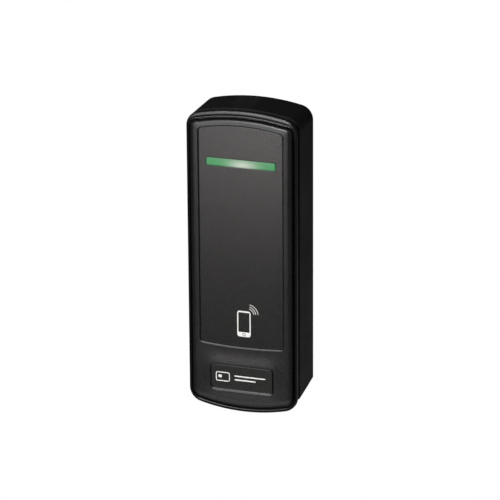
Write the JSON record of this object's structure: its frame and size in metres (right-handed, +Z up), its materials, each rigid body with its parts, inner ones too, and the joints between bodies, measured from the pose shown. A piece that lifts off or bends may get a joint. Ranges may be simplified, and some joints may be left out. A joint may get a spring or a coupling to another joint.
{
  "type": "wall-mounted contactless card reader",
  "caption": "Narrow wall-mounted contactless card reader: crowned clip-on cover with a light bar, panel and nameplate over a deep rear housing with cable, antennas and tamper switch.",
  "frame": {"origin": "on the wall plane, at the middle of the body's outline", "axes": "+X to the right seen from the front, +Z up along the body, +Y into the wall; the front of the reader faces -Y"},
  "size_m": [0.0432, 0.0731, 0.12],
  "materials": {
    "housing_plastic": "fine spark-textured black moulding",
    "bezel_plastic": "fine-textured black moulding, slight sheen",
    "panel_overlay": "satin charcoal overlay",
    "nameplate_plastic": "satin charcoal",
    "print_white": "pale printed ink",
    "foam": "closed-cell foam",
    "potting": "cast epoxy",
    "zinc_steel": "zinc-plated steel",
    "black_steel": "black-oxide steel",
    "brass": "knurled brass",
    "grommet_rubber": "moulded rubber",
    "cable_sheath": "extruded PVC",
    "nylon": "black nylon",
    "ins_red": "PVC insulation",
    "ins_black": "PVC insulation",
    "ins_green": "PVC insulation",
    "ins_white": "PVC insulation",
    "ins_brown": "PVC insulation",
    "ins_blue": "PVC insulation",
    "ins_orange": "PVC insulation",
    "ins_yellow": "PVC insulation",
    "tinned_copper": "tinned strands",
    "board_green": "solder-masked laminate",
    "copper": "enamelled copper",
    "ic_black": "moulded epoxy",
    "ferrite": "sintered ferrite",
    "connector_ivory": "natural nylon",
    "led_white": "moulded LED package",
    "lens_green": "lit diffuser",
    "switch_red": "moulded button",
    "plunger_natural": "natural acetal"
  },
  "bodies": {
    "housing": {"rear_housing": "housing_plastic", "wall_gasket": "foam", "potting_layer": "potting", "wall_screws": "zinc_steel", "screw_washers": "zinc_steel", "cable_grommet": "grommet_rubber", "cable_sheath": "cable_sheath", "cable_tie": "nylon", "wire_red": "ins_red", "wire_black": "ins_black", "wire_green": "ins_green", "wire_white": "ins_white", "wire_brown": "ins_brown", "wire_blue": "ins_blue", "wire_orange": "ins_orange", "wire_yellow": "ins_yellow", "wire_ends": "tinned_copper", "main_board": "board_green", "board_screws": "zinc_steel", "board_inserts": "brass", "shield_can": "tinned_copper", "controller_chip": "ic_black", "radio_module": "tinned_copper", "crystal": "tinned_copper", "voltage_regulator": "ic_black", "power_inductor": "ferrite", "capacitors": "tinned_copper", "buzzer": "nylon", "buzzer_port_seal": "foam", "connector_header": "connector_ivory", "connector_plug": "connector_ivory", "ferrite_sheet": "ferrite", "coil_bobbin": "nylon", "antenna_coil": "copper", "antenna_board": "board_green", "antenna_trace": "copper", "status_leds": "led_white", "light_shroud": "led_white", "tamper_switch": "nylon", "tamper_spring": "zinc_steel", "lock_insert": "brass"},
    "cover": {"front_bezel": "bezel_plastic", "front_panel": "panel_overlay", "light_bar_lens": "lens_green", "nameplate": "nameplate_plastic", "nameplate_mark": "print_white", "phone_symbol": "print_white"},
    "plunger": {"tamper_plunger": "plunger_natural"},
    "button": {"tamper_button": "switch_red"},
    "lock": {"lock_screw": "black_steel"}
  },
  "joints": [
    {"name": "cover_pull_off", "type": "slide", "parent": "housing", "child": "cover", "axis": [0, -1, 0], "range_m": [0, 0.03]},
    {"name": "tamper_plunger_travel", "type": "slide", "parent": "housing", "child": "plunger", "axis": [0, 1, 0], "range_m": [0, 0.002], "stiffness_N_per_m": 120, "springref_m": 0.004, "deforming": ["tamper_spring"]},
    {"name": "tamper_button_travel", "type": "slide", "parent": "housing", "child": "button", "axis": [0, 1, 0], "range_m": [0, 0.0004]},
    {"name": "lock_screw_travel", "type": "slide", "parent": "housing", "child": "lock", "axis": [0, 0, 1], "range_m": [0, 0.0022]}
  ],
  "couplings": [
    {"joint": "tamper_button_travel", "follows": "tamper_plunger_travel", "ratio": 0.2}
  ]
}
